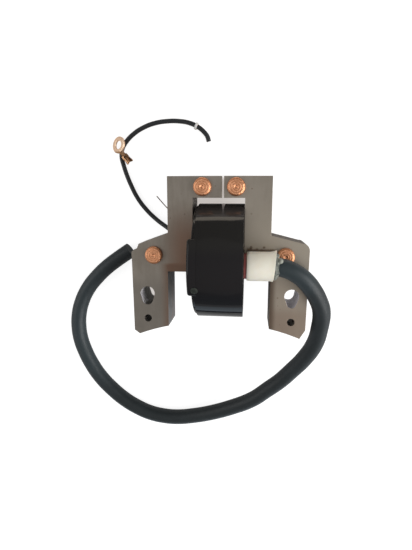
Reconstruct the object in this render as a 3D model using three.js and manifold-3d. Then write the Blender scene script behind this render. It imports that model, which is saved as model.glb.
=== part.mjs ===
// Ignition coil for a small engine with a flywheel magneto.
// Millimetres, +Z up. The coil lies on its round back: Z = 0 is the surface it rests on,
// X runs across the two mounting feet, and Y runs from the pole faces (-Y) to the yoke (+Y).
// The origin is under the middle of the laminated core and coil, at the level they rest on.

import * as THREE from "three";
import { mergeVertices } from "three/addons/utils/BufferGeometryUtils.js";
import Module from "manifold-3d";

const wasm = await Module();
wasm.setup();

// ---------------------------------------------------------------- driving dimensions

// Moulded coil: a short cylinder whose axis runs along X.
const COIL_RADIUS = 22.8;
const COIL_AXIS_Y = -1.6;
const COIL_AXIS_Z = COIL_RADIUS;
const COIL_LEFT = -9.3;
const COIL_RIGHT = 9.65;
const CUP_WALL = 1.6;
const CUP_END_WALL = 1.8;
const CUP_STEP = 1.05;
const CUP_STEP_RADIUS = 21.9;

// Laminated core, made of a left and a right half that interleave inside the coil.
const STACK = 15;
const CORE_FRONT = COIL_AXIS_Z + STACK / 2;
const CORE_BACK = COIL_AXIS_Z - STACK / 2;
const PACKS = 4;
const PACK = STACK / PACKS;
const YOKE_TOP = 31.5;
const YOKE_UNDER = 23.4;
const LEG_OUTER = 20;
const BAR_TOP = 2.15;
const BAR_UNDER = -5.35;
const FOOT_INNER = 20.15;
const FOOT_OUTER_TOP = 34.7;
const FOOT_OUTER_LOW = 34.35;
const POLE_INNER_Y = -27.8;
const POLE_TIP = 32.2;
const POLE_TIP_Y = -31.5;
const FLYWHEEL_RADIUS = 78;

// The slit in the yoke, where the two halves face each other, opens a little towards the back.
const SLIT_LEFT = 1.1;
const SLIT_RIGHT = 1.8;
const SLIT_STEP = 0.25;

// Mounting slot: a round head that narrows to a small round foot, and a tooling hole under it.
const SLOT_X = 28.575;
const SLOT_HEAD_RADIUS = 2.85;
const SLOT_HEAD_Y = -14.45;
const TOOLING_X = 28.6;
const TOOLING_Y = -24.8;
const TOOLING_RADIUS = 1.5;

// Rivets.
const RIVET_SHANK = 2.3;
const RIVET_HOLE = 2.45;
const RIVET_SKIRT = 3.5;
const RIVET_CROWN = 3.1;
const RIVET_HEIGHT = 1.9;
const YOKE_RIVET = { x: 6.4, y: 27.5 };
const FOOT_RIVET = { x: 25.6, y: 1.2 };

// High-tension tower and lead.
const TOWER_Z = 36.5;
const TOWER_RADIUS = 5.5;
const TOWER_BORE = 3.8;
const TOWER_START = 10.9;
const TOWER_FLOOR = 12.6;
const TOWER_END = 21.1;
const SEAL_START = 9.9;
const SEAL_RADIUS = 4.8;
const PIN_RADIUS = 0.8;
const PIN_CLEAR = 1.1;
const PIN_TIP = 15.5;
const LEAD_RADIUS = 3.5;
const LEAD_START = 16;
const SEALANT_END = 22.5;

// Primary side.
const WIRE_RADIUS = 1;
const GROMMET_Y = 1;
const GROMMET_Z = 8;

// Shape of each half that isn't its mirror image: the shoulder over the foot and the foot's heel.
const LEFT_HALF = {
  side: -1,
  window: 10.2,
  barEnd: 9.8,
  slit: -SLIT_LEFT,
  slitStep: SLIT_STEP,
  shoulderY: 9.8,
  shoulder: [[31.8, 5.5], [32.65, 3.4], [33.9, 3.1], [FOOT_OUTER_TOP, 2.1]],
  heelY: -29.9,
  slotFoot: [2.15, -16.95],
  rearSlotFoot: [2.15, -16.95],
};
const RIGHT_HALF = {
  side: 1,
  window: 9.85,
  barEnd: 10.1,
  slit: SLIT_RIGHT,
  slitStep: 0,
  shoulderY: 9.35,
  shoulder: roundedShoulder(32, 6.3, 3),
  heelY: -27.9,
  slotFoot: [1.75, -17.35],
  rearSlotFoot: [2.4, -16.7],
};

// ---------------------------------------------------------------- geometry helpers

// Closed body with merged vertices, no zero-area triangles and outward faces.
function tidy(geometry) {
  const bare = geometry.index ? geometry.toNonIndexed() : geometry.clone();
  bare.deleteAttribute("normal");
  bare.deleteAttribute("uv");
  const merged = mergeVertices(bare, 1e-4);
  const source = merged.index.array;
  const kept = [];
  for (let i = 0; i < source.length; i += 3) {
    const [a, b, c] = [source[i], source[i + 1], source[i + 2]];
    if (a !== b && b !== c && a !== c) kept.push(a, b, c);
  }
  const point = (i) => new THREE.Vector3().fromBufferAttribute(merged.attributes.position, i);
  let volume = 0;
  for (let i = 0; i < kept.length; i += 3) {
    volume += point(kept[i]).dot(point(kept[i + 1]).cross(point(kept[i + 2])));
  }
  if (volume < 0) kept.reverse();
  merged.setIndex(kept);
  return merged;
}

function toManifold(geometry) {
  const { attributes, index } = tidy(geometry);
  const mesh = new wasm.Mesh({
    numProp: 3,
    vertProperties: new Float32Array(attributes.position.array),
    triVerts: new Uint32Array(index.array),
  });
  return new wasm.Manifold(mesh);
}

function fromManifold(body) {
  const { vertProperties, triVerts } = body.getMesh();
  const geometry = new THREE.BufferGeometry();
  geometry.setAttribute("position", new THREE.BufferAttribute(new Float32Array(vertProperties), 3));
  geometry.setIndex([...triVerts]);
  return geometry;
}

function join(...geometries) {
  const bodies = geometries.map(toManifold);
  return fromManifold(bodies.reduce((whole, body) => whole.add(body)));
}

// Flat outline in XY, pushed up from z0 to z1.
function plate(outline, z0, z1, holes = [], curveSegments = 12) {
  const shape = outline instanceof THREE.Shape ? outline : polygon(outline);
  shape.holes.push(...holes);
  const depth = z1 - z0;
  const body = new THREE.ExtrudeGeometry(shape, { depth, bevelEnabled: false, curveSegments });
  return body.translate(0, 0, z0);
}

// Flat outline in the plane across X, pushed from x0 to x1. Its points are (y, z).
function crossPlate(outline, x0, x1, holes = [], curveSegments = 12) {
  const body = plate(outline, 0, x1 - x0, holes, curveSegments);
  const turn = new THREE.Matrix4().makeBasis(
    new THREE.Vector3(0, 1, 0), new THREE.Vector3(0, 0, 1), new THREE.Vector3(1, 0, 0));
  return body.applyMatrix4(turn).translate(x0, 0, 0);
}

function polygon(points) {
  return new THREE.Shape(points.map(([x, y]) => new THREE.Vector2(x, y)));
}

function circle(x, y, radius) {
  const path = new THREE.Path();
  path.absarc(x, y, radius, 0, 2 * Math.PI);
  return path;
}

function rectangle(halfWidth, halfHeight, x = 0, y = 0) {
  return [
    [x - halfWidth, y - halfHeight], [x + halfWidth, y - halfHeight],
    [x + halfWidth, y + halfHeight], [x - halfWidth, y + halfHeight],
  ];
}

// Profile of (radius, distance along the axis) points, turned about Z.
function turnedZ(profile, segments) {
  const points = profile.map(([r, along]) => new THREE.Vector2(r, along));
  return new THREE.LatheGeometry(points, segments).rotateX(Math.PI / 2);
}

// The same, turned about a line along X at (y, z).
function turnedX(profile, segments, y, z) {
  const points = profile.map(([r, along]) => new THREE.Vector2(r, along));
  return new THREE.LatheGeometry(points, segments).rotateZ(-Math.PI / 2).translate(0, y, z);
}

// Ring of one wall about a line along X: closed profile, so it has a hole through it.
function sleeve(inner, outer, x0, x1, segments, y = COIL_AXIS_Y, z = COIL_AXIS_Z) {
  const profile = [[inner, x0], [outer, x0], [outer, x1], [inner, x1], [inner, x0]];
  return turnedX(profile, segments, y, z);
}

// Round cord along a smooth route.
function cord(route, radius, sides, steps) {
  const path = new THREE.CatmullRomCurve3(route.map((p) => new THREE.Vector3(...p)));
  const section = new THREE.Shape();
  section.absarc(0, 0, radius, 0, 2 * Math.PI);
  const options = { steps, extrudePath: path, curveSegments: sides / 2, bevelEnabled: false };
  return new THREE.ExtrudeGeometry(section, options);
}

// ---------------------------------------------------------------- scene graph

const group = new THREE.Group();

const FINISHES = {
  steel: { color: 0x8a8176, roughness: 0.5, metalness: 0.7 },
  copper: { color: 0xd59a70, roughness: 0.35, metalness: 0.9 },
  blackMoulding: { color: 0x1e1c1e, roughness: 0.2, metalness: 0 },
  resin: { color: 0x24211f, roughness: 0.35, metalness: 0 },
  spool: { color: 0xcfc6ae, roughness: 0.5, metalness: 0 },
  enamel: { color: 0x8d4a24, roughness: 0.35, metalness: 0.5 },
  paper: { color: 0xb79a6a, roughness: 0.8, metalness: 0 },
  cream: { color: 0xe9dfcb, roughness: 0.35, metalness: 0 },
  redSeal: { color: 0x8e4a44, roughness: 0.5, metalness: 0 },
  sealant: { color: 0xc9cdc0, roughness: 0.3, metalness: 0 },
  leadRubber: { color: 0x2d3236, roughness: 0.45, metalness: 0 },
  wireSleeve: { color: 0x242628, roughness: 0.4, metalness: 0 },
  brass: { color: 0xc59a62, roughness: 0.35, metalness: 0.9 },
  whiteBand: { color: 0xdcdcd8, roughness: 0.5, metalness: 0 },
};

function add(name, geometry, finish) {
  const mesh = new THREE.Mesh(tidy(geometry), new THREE.MeshStandardMaterial(FINISHES[finish]));
  mesh.name = name;
  group.add(mesh);
  return mesh;
}

// ---------------------------------------------------------------- laminated core

// Points of an arc, from one angle to another in degrees.
function arcPoints(x, y, radius, from, to, count) {
  return Array.from({ length: count + 1 }, (_, i) => {
    const angle = THREE.MathUtils.degToRad(from + ((to - from) * i) / count);
    return [x + radius * Math.cos(angle), y + radius * Math.sin(angle)];
  });
}

// Round corner between the sloped shoulder, which ends at (u, v), and the foot's outer edge.
function roundedShoulder(u, v, radius) {
  return arcPoints(FOOT_OUTER_TOP - radius, v - radius + 0.2, radius, 75, 0, 5);
}

// Pole face: part of a circle about the flywheel's axis, hollow towards the flywheel.
function poleFace() {
  const middle = new THREE.Vector2((POLE_TIP + FOOT_INNER) / 2, (POLE_TIP_Y + POLE_INNER_Y) / 2);
  const chord = new THREE.Vector2(FOOT_INNER - POLE_TIP, POLE_INNER_Y - POLE_TIP_Y);
  const rise = Math.sqrt(FLYWHEEL_RADIUS ** 2 - (chord.length() / 2) ** 2);
  const across = new THREE.Vector2(chord.y, -chord.x).normalize();
  const centre = middle.clone().addScaledVector(across, across.y < 0 ? rise : -rise);
  const count = 4;
  return Array.from({ length: count + 1 }, (_, i) => {
    const point = new THREE.Vector2(POLE_TIP, POLE_TIP_Y).addScaledVector(chord, i / count);
    const spoke = point.sub(centre).setLength(FLYWHEEL_RADIUS);
    return [centre.x + spoke.x, centre.y + spoke.y];
  });
}

// Outline of one half, u outwards from the middle of the core.
// The long arm reaches right through the coil and the short one stops at the leg.
function halfOutline(half, pack, longArm) {
  const slit = half.slit + half.slitStep * pack;
  const arm = longArm
    ? [[-half.barEnd, BAR_UNDER], [-half.barEnd, BAR_TOP], [half.window, BAR_TOP]]
    : [[half.window, BAR_UNDER]];
  return [
    [slit, YOKE_TOP], [LEG_OUTER, YOKE_TOP], [LEG_OUTER, half.shoulderY],
    ...half.shoulder,
    [FOOT_OUTER_LOW, half.heelY],
    ...poleFace(),
    [FOOT_INNER, BAR_UNDER],
    ...arm,
    [half.window, YOKE_UNDER], [slit, YOKE_UNDER],
  ];
}

// Mounting slot: the belt round a large circle and a small one under it. The rear bundles are
// punched a little wider at the foot.
function slotPath(half, pack) {
  const x = half.side * SLOT_X;
  const [footRadius, footY] = pack < 2 ? half.slotFoot : half.rearSlotFoot;
  const drop = SLOT_HEAD_Y - footY;
  const lean = Math.asin((SLOT_HEAD_RADIUS - footRadius) / drop);
  const path = new THREE.Path();
  path.absarc(x, SLOT_HEAD_Y, SLOT_HEAD_RADIUS, -lean, Math.PI + lean, false);
  path.absarc(x, footY, footRadius, Math.PI + lean, 2 * Math.PI - lean, false);
  path.closePath();
  return path;
}

function corePack(half, pack) {
  const longArm = (pack % 2 === 0) === (half.side < 0);
  const outline = halfOutline(half, pack, longArm).map(([u, v]) => [half.side * u, v]);
  const holes = [
    slotPath(half, pack),
    circle(half.side * TOOLING_X, TOOLING_Y, TOOLING_RADIUS),
    circle(half.side * FOOT_RIVET.x, FOOT_RIVET.y, RIVET_HOLE),
    circle(half.side * YOKE_RIVET.x, YOKE_RIVET.y, RIVET_HOLE),
  ];
  const top = CORE_FRONT - pack * PACK;
  return plate(outline, top - PACK, top, holes, 8);
}

for (const [label, half] of [["left", LEFT_HALF], ["right", RIGHT_HALF]]) {
  for (let pack = 0; pack < PACKS; pack += 1) {
    add(`${label}_core_pack_${pack + 1}`, corePack(half, pack), "steel");
  }
}

// Rivet with a low dished head on both faces of the stack.
function rivet(x, y) {
  const head = [
    [RIVET_SKIRT, 0], [3.5, 0.45], [3.4, 1], [RIVET_CROWN, 1.5], [2.6, 1.85],
    [1.4, RIVET_HEIGHT], [0.6, 1.7], [0, 1.6],
  ];
  const front = [[RIVET_SHANK, 0], ...head].map(([r, h]) => [r, CORE_FRONT + h]);
  const back = [[RIVET_SHANK, 0], ...head].map(([r, h]) => [r, CORE_BACK - h]).reverse();
  return turnedZ([...back, ...front], 24).translate(x, y, 0);
}

for (const [label, half] of [["left", LEFT_HALF], ["right", RIGHT_HALF]]) {
  add(`yoke_rivet_${label}`, rivet(half.side * YOKE_RIVET.x, YOKE_RIVET.y), "copper");
  add(`foot_rivet_${label}`, rivet(half.side * FOOT_RIVET.x, FOOT_RIVET.y), "copper");
}

// ---------------------------------------------------------------- coil

// Cup: round wall and a left end wall with a round opening, and the wire boss moulded on it.
const CUP_OPENING = 11.4;
const BOSS_HALF_ANGLE = 28.5;
const BOSS_LEFT = -10.75;

function coilCup() {
  const outer = COIL_RADIUS;
  const inner = outer - CUP_WALL;
  const step = COIL_LEFT + CUP_STEP;
  const endWall = COIL_LEFT + CUP_END_WALL;
  const profile = [
    [CUP_OPENING, COIL_LEFT],
    [CUP_STEP_RADIUS - 0.4, COIL_LEFT], [CUP_STEP_RADIUS, COIL_LEFT + 0.4], [CUP_STEP_RADIUS, step],
    [outer - 0.2, step], [outer, step + 0.2],
    [outer, COIL_RIGHT], [inner, COIL_RIGHT],
    [inner, endWall], [CUP_OPENING, endWall],
    [CUP_OPENING, COIL_LEFT],
  ];
  return turnedX(profile, 64, COIL_AXIS_Y, COIL_AXIS_Z);
}

function wireBoss() {
  const low = 17.5;
  const high = 22.9;
  const from = 90 - BOSS_HALF_ANGLE;
  const to = 90 + BOSS_HALF_ANGLE;
  const outline = [
    ...arcPoints(0, 0, high, from + 2, to - 2, 12),
    ...arcPoints(0, 0, high - 1, to - 0.5, to, 1),
    ...arcPoints(0, 0, low, to, from, 10),
    ...arcPoints(0, 0, high - 1, from, from + 0.5, 1),
  ].map(([y, z]) => [y + COIL_AXIS_Y, z + COIL_AXIS_Z]);
  return crossPlate(outline, BOSS_LEFT, COIL_LEFT + CUP_END_WALL - 0.1);
}

add("coil_cup", join(coilCup(), wireBoss()), "blackMoulding");

// Low dome of filler over the wire hole at the boss's lower end.
const FILLER_LEAN = THREE.MathUtils.degToRad(21);
const FILLER_X = -7.9;

function bossFiller() {
  const dome = turnedZ([[0, 22.93], [1.4, 22.93], [1.3, 23.1], [0.8, 23.25], [0, 23.3]], 20);
  return dome.rotateX(FILLER_LEAN).translate(FILLER_X, COIL_AXIS_Y, COIL_AXIS_Z);
}

add("boss_filler", bossFiller(), "sealant");

// Primary spool: rectangular tube round the bar, with two flanges.
const BORE = { halfY: 4.4, halfZ: 8, y: -1.25 };
const SPOOL_WALL = 1;

function primarySpool() {
  const hole = () => polygon(rectangle(BORE.halfY, BORE.halfZ, BORE.y, COIL_AXIS_Z));
  const tube = rectangle(BORE.halfY + SPOOL_WALL, BORE.halfZ + SPOOL_WALL, BORE.y, COIL_AXIS_Z);
  const flange = rectangle(8.4, 12, BORE.y, COIL_AXIS_Z);
  return join(
    crossPlate(tube, COIL_LEFT, COIL_RIGHT - 0.2, [hole()]),
    crossPlate(flange, -6.2, -5.2, [hole()]),
    crossPlate(flange, 6.2, 7.2, [hole()]),
  );
}

function primaryWinding() {
  const gap = 0.3;
  const inner = [BORE.halfY + SPOOL_WALL + gap, BORE.halfZ + SPOOL_WALL + gap];
  const hole = polygon(rectangle(...inner, BORE.y, COIL_AXIS_Z));
  const outline = rectangle(inner[0] + 2.3, inner[1] + 2.3, BORE.y, COIL_AXIS_Z);
  return crossPlate(outline, -4.9, 5.9, [hole]);
}

add("primary_spool", primarySpool(), "spool");
add("primary_winding", primaryWinding(), "enamel");
add("secondary_spool", sleeve(15, 15.9, -5.8, 6.8, 40), "spool");
add("secondary_winding", sleeve(16.2, 19.8, -4.6, 5.6, 40), "enamel");
add("winding_wrap", sleeve(20.1, 20.5, -4.6, 5.6, 40), "paper");

// Potting resin that closes the open end of the cup, with the stem that carries the tower.
function pottingResin() {
  const disc = new THREE.Shape();
  disc.absarc(COIL_AXIS_Y, COIL_AXIS_Z, COIL_RADIUS - CUP_WALL - 0.3, 0, 2 * Math.PI);
  const gap = SPOOL_WALL + 0.3;
  const hole = polygon(rectangle(BORE.halfY + gap, BORE.halfZ + gap, BORE.y, COIL_AXIS_Z));
  const stem = turnedX([[0, 8.5], [4.4, 8.5], [4.4, SEAL_START], [0, SEAL_START]], 24,
    COIL_AXIS_Y, TOWER_Z);
  return join(crossPlate(disc, 7.5, 8.9, [hole], 20), stem);
}

add("potting_resin", pottingResin(), "resin");

// Flat spring wedge between the bar and the spool, which keeps the coil from sliding.
function coilWedge() {
  const low = BAR_TOP + 0.1;
  const outline = rectangle(0.35, 5.5, low + 0.35, COIL_AXIS_Z);
  return crossPlate(outline, COIL_LEFT - 0.6, COIL_RIGHT - 0.4);
}

add("coil_wedge", coilWedge(), "steel");

// ---------------------------------------------------------------- high-tension tower

const towerPart = (profile, segments) => turnedX(profile, segments, COIL_AXIS_Y, TOWER_Z);

add("tower_seal_ring", sleeve(PIN_CLEAR, SEAL_RADIUS, SEAL_START, TOWER_START - 0.05, 24,
  COIL_AXIS_Y, TOWER_Z), "redSeal");

add("tower_tube", towerPart([
  [PIN_CLEAR, TOWER_START], [TOWER_RADIUS - 0.25, TOWER_START], [TOWER_RADIUS, TOWER_START + 0.3],
  [TOWER_RADIUS, TOWER_END - 1], [TOWER_RADIUS + 0.2, TOWER_END], [TOWER_BORE, TOWER_END],
  [TOWER_BORE, TOWER_FLOOR], [PIN_CLEAR, TOWER_FLOOR], [PIN_CLEAR, TOWER_START],
], 32), "cream");

add("contact_pin", towerPart([
  [0, SEAL_START], [PIN_RADIUS, SEAL_START], [PIN_RADIUS, PIN_TIP - 1.6], [0, PIN_TIP],
], 12), "brass");

add("lead_sealant", towerPart([
  [4, TOWER_END + 0.05], [5.3, TOWER_END + 0.05], [5.15, TOWER_END + 0.6],
  [4.8, TOWER_END + 1.1], [4.5, SEALANT_END], [4.15, SEALANT_END], [4, TOWER_END + 0.05],
], 24), "sealant");

// ---------------------------------------------------------------- high-tension lead

// From the tower over the right foot, down to the bench in front of the pole faces,
// and round to a cut end under the left shoulder.
const LEAD_ROUTE = [
  [LEAD_START, COIL_AXIS_Y, TOWER_Z], [19, COIL_AXIS_Y, TOWER_Z], [22.3, -1.7, 36.5],
  [25.7, -2.5, 36.5], [29.3, -4.2, 36.3], [32.8, -7, 35.6], [35.8, -10.7, 34.4],
  [38.3, -14.9, 32.4], [40.2, -20, 30], [40.5, -27.6, 26.4], [39.4, -36, 22.7],
  [35.7, -44.4, 19.1], [31.4, -50.9, 16.2], [26.9, -57, 13.6], [21.4, -62.8, 11.2],
  [14.6, -69.3, 8.8], [5.2, -74.9, 6.6], [-5.5, -79.5, 4.9], [-13.5, -81.9, 4],
  [-21.6, -83.3, 3.6], [-28.6, -83.2, 3.5], [-35.7, -81.8, 3.5], [-41.7, -79.3, 3.5],
  [-47.8, -75.7, 3.5], [-54.2, -70.4, 3.5], [-60.1, -64, 3.5], [-64.4, -57.3, 3.5],
  [-67.5, -50.4, 3.5], [-69.3, -44.3, 3.5], [-69.9, -38.2, 3.5], [-69.4, -31.9, 3.5],
  [-67.4, -25.2, 3.5], [-64, -18.9, 3.5], [-59.6, -13.6, 3.5], [-54.5, -8.8, 3.5],
  [-48.6, -4.4, 3.5], [-42.8, -0.5, 3.5],
];

add("ht_lead", cord(LEAD_ROUTE, LEAD_RADIUS, 10, 52), "leadRubber");

// ---------------------------------------------------------------- primary side

add("wire_grommet", turnedX([
  [1.3, -10.9], [1.9, -10.9], [2.3, -10.2], [2.3, COIL_LEFT - 0.05], [1.3, COIL_LEFT - 0.05],
  [1.3, -10.9],
], 16, GROMMET_Y, GROMMET_Z), "leadRubber");

// Stop wire: out of the grommet, under the left leg and round on the bench to a cut end.
const WIRE_ROUTE = [
  [-9.6, GROMMET_Y, GROMMET_Z], [-11.6, 1.2, 8], [-15.3, 3.6, 7.2], [-20.1, 6.7, 5.6],
  [-25.3, 9.9, 3.4], [-31.3, 14, 1.6], [-36.1, 18.6, 1.05], [-39.8, 23.7, 1.05],
  [-42.1, 28.3, 1.05], [-44.1, 33.2, 1.05], [-45.6, 38, 1.05], [-46.3, 41.3, 1.05],
  [-45.9, 44.8, 1.05], [-44, 47.9, 1.05], [-40.4, 51.3, 1.05], [-35.7, 54, 1.05],
  [-30.6, 55.7, 1.05], [-25.1, 56.4, 1.05], [-19.7, 56.3, 1.05], [-15.2, 55.4, 1.5],
  [-11.5, 53.7, 1.6], [-8.8, 51.5, 1.5], [-7.4, 49.6, 1.2], [-6.8, 47.6, 1.05],
];

add("stop_wire", cord(WIRE_ROUTE, WIRE_RADIUS, 8, 60), "wireSleeve");

// Marker band on the stop wire, close to its cut end.
const BAND_FROM_END = 8.5;

function markerBand() {
  const path = new THREE.CatmullRomCurve3(WIRE_ROUTE.map((p) => new THREE.Vector3(...p)));
  const place = 1 - BAND_FROM_END / path.getLength();
  const centre = path.getPointAt(place);
  const heading = path.getTangentAt(place);
  const profile = [[1.25, -0.5], [1.55, -0.5], [1.55, 0.5], [1.25, 0.5], [1.25, -0.5]];
  return turnedX(profile, 16, 0, 0).rotateZ(Math.atan2(heading.y, heading.x))
    .translate(centre.x, centre.y, centre.z);
}

add("marker_band", markerBand(), "whiteBand");

// Ring terminal: a flat eye that leans on the bench, a neck over the wire and an open barrel.
const EYE_CENTRE = new THREE.Vector3(-46.8, 46.35, 3.1);
const EYE_RADIUS = 3.7;
const EYE_HOLE = 1.9;
const EYE_LEAN = THREE.MathUtils.degToRad(33);
const EYE_TURN = THREE.MathUtils.degToRad(-15);
const TERMINAL_SHEET = 0.7;

function terminalEye() {
  const disc = new THREE.Shape();
  disc.absarc(0, 0, EYE_RADIUS, 0, 2 * Math.PI);
  const eye = plate(disc, -TERMINAL_SHEET / 2, TERMINAL_SHEET / 2, [circle(0, 0, EYE_HOLE)], 10);
  return eye.rotateY(-EYE_LEAN).rotateZ(EYE_TURN).translate(EYE_CENTRE.x, EYE_CENTRE.y, EYE_CENTRE.z);
}

// Straight strip of sheet between two points, as wide as given.
function strip(from, to, width) {
  const along = to.clone().sub(from);
  const bar = new THREE.BoxGeometry(along.length(), width, TERMINAL_SHEET);
  const x = along.clone().normalize();
  const y = new THREE.Vector3(0, 0, 1).cross(x).normalize();
  const turn = new THREE.Matrix4().makeBasis(x, y, x.clone().cross(y));
  const middle = from.clone().addScaledVector(along, 0.5);
  return bar.applyMatrix4(turn).translate(middle.x, middle.y, middle.z);
}

// Open crimp barrel: a U of sheet whose wings point up.
function terminalBarrel(from, to) {
  const outer = 1.5;
  const inner = outer - TERMINAL_SHEET;
  const outline = [
    ...arcPoints(0, 0, outer, 150, 390, 10),
    ...arcPoints(0, 0, inner, 390, 150, 10),
  ];
  const along = to.clone().sub(from);
  const trough = plate(outline, 0, along.length());
  const z = along.clone().normalize();
  const x = new THREE.Vector3(0, 0, 1).cross(z).normalize();
  const turn = new THREE.Matrix4().makeBasis(x, z.clone().cross(x), z);
  return trough.applyMatrix4(turn).translate(from.x, from.y, from.z);
}

function ringTerminal() {
  const neckStart = new THREE.Vector3(-46.1, 43.9, 3.9);
  const neckEnd = new THREE.Vector3(-43.9, 41.2, 2.6);
  const barrelStart = new THREE.Vector3(-44.4, 41.9, 3.9);
  const barrelEnd = new THREE.Vector3(-42.1, 38.9, 2.2);
  return join(terminalEye(), strip(neckStart, neckEnd, 1.7), terminalBarrel(barrelStart, barrelEnd));
}

add("ring_terminal", ringTerminal(), "brass");

// Bare ground lead: from the cup's end wall, up behind the left leg, with its end past the leg.
const GROUND_ROUTE = [
  [COIL_LEFT - 0.1, 5.4, 11], [-10.8, 6.6, 12.4], [-13, 9, 14.2], [-17, 13, 14.7],
  [-20, 16, 14.6], [-23.7, 19.6, 14.2], [-27.8, 24, 13.4],
];

add("ground_lead", cord(GROUND_ROUTE, 0.25, 6, 14), "copper");

export default group;
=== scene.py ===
"""Visual model of a flywheel magneto ignition coil that lies on its round back.

Sizes in the classes are in millimetres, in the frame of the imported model: X runs across the two feet,
Y from the pole faces to the yoke and Z out of the front of the core. Meshes are built in metres.
"""

import logging
import math
import random
from collections.abc import Callable, Sequence
from dataclasses import dataclass, field
from enum import Enum
from functools import partial
from typing import Any

import bmesh
import bpy
from mathutils import Matrix, Vector


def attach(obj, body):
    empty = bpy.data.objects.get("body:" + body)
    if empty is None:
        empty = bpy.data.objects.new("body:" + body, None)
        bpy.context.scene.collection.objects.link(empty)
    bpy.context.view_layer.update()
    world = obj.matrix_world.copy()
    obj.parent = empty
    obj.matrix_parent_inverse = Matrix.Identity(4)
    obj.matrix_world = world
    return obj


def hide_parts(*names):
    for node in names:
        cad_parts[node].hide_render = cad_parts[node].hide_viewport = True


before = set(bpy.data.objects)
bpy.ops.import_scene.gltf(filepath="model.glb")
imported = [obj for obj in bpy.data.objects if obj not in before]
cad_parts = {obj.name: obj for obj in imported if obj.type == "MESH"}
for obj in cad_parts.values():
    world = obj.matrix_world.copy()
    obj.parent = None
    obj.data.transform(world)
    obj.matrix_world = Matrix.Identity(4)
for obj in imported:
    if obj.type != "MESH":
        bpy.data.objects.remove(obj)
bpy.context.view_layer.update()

MM = 0.001
LOG = logging.getLogger("ignition_coil")
ROOT = "root"

Point = tuple[float, float, float]
Flat = tuple[float, float]
Colour = tuple[float, float, float]


class Side(Enum):
    """Which half of the core a piece belongs to."""

    LEFT = -1
    RIGHT = 1


class Shading(Enum):
    """How the faces of a mesh meet in the light, by the angle between them."""

    CRISP = 20
    SOFT = 40
    SMOOTH = 180


# ---------- shader arithmetic


class Value:
    """A socket that takes part in shader arithmetic on plain numbers."""

    def __init__(self, graph: "Graph", socket: bpy.types.NodeSocket) -> None:
        """Keeps the socket and the graph that it belongs to."""
        self.graph = graph
        self.socket = socket

    def _math(self, operation: str, *terms: "Value | float") -> "Value":
        """Adds one Math node over the given terms."""
        inputs = dict(enumerate(terms))
        return self.graph.node("ShaderNodeMath", {"operation": operation}, inputs)

    def __add__(self, other: "Value | float") -> "Value":
        """Sum."""
        return self._math("ADD", self, other)

    def __radd__(self, other: float) -> "Value":
        """Sum, reflected."""
        return self._math("ADD", other, self)

    def __sub__(self, other: "Value | float") -> "Value":
        """Difference."""
        return self._math("SUBTRACT", self, other)

    def __rsub__(self, other: float) -> "Value":
        """Difference, reflected."""
        return self._math("SUBTRACT", other, self)

    def __mul__(self, other: "Value | float") -> "Value":
        """Product."""
        return self._math("MULTIPLY", self, other)

    def __rmul__(self, other: float) -> "Value":
        """Product, reflected."""
        return self._math("MULTIPLY", other, self)

    def __pow__(self, other: "Value | float") -> "Value":
        """Power."""
        return self._math("POWER", self, other)

    def __abs__(self) -> "Value":
        """Size without sign."""
        return self._math("ABSOLUTE", self)

    def sine(self) -> "Value":
        """Sine of an angle in radians."""
        return self._math("SINE", self)

    def root(self) -> "Value":
        """Square root."""
        return self._math("SQRT", self)

    def step(self, low: float, high: float) -> "Value":
        """Smooth rise from 0 at low to 1 at high, or a fall where high is the lower one."""
        settings = {"interpolation_type": "SMOOTHSTEP"}
        if low < high:
            inputs = {0: self, 1: low, 2: high, 3: 0.0, 4: 1.0}
        else:
            inputs = {0: self, 1: high, 2: low, 3: 1.0, 4: 0.0}
        return self.graph.node("ShaderNodeMapRange", settings, inputs)


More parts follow.
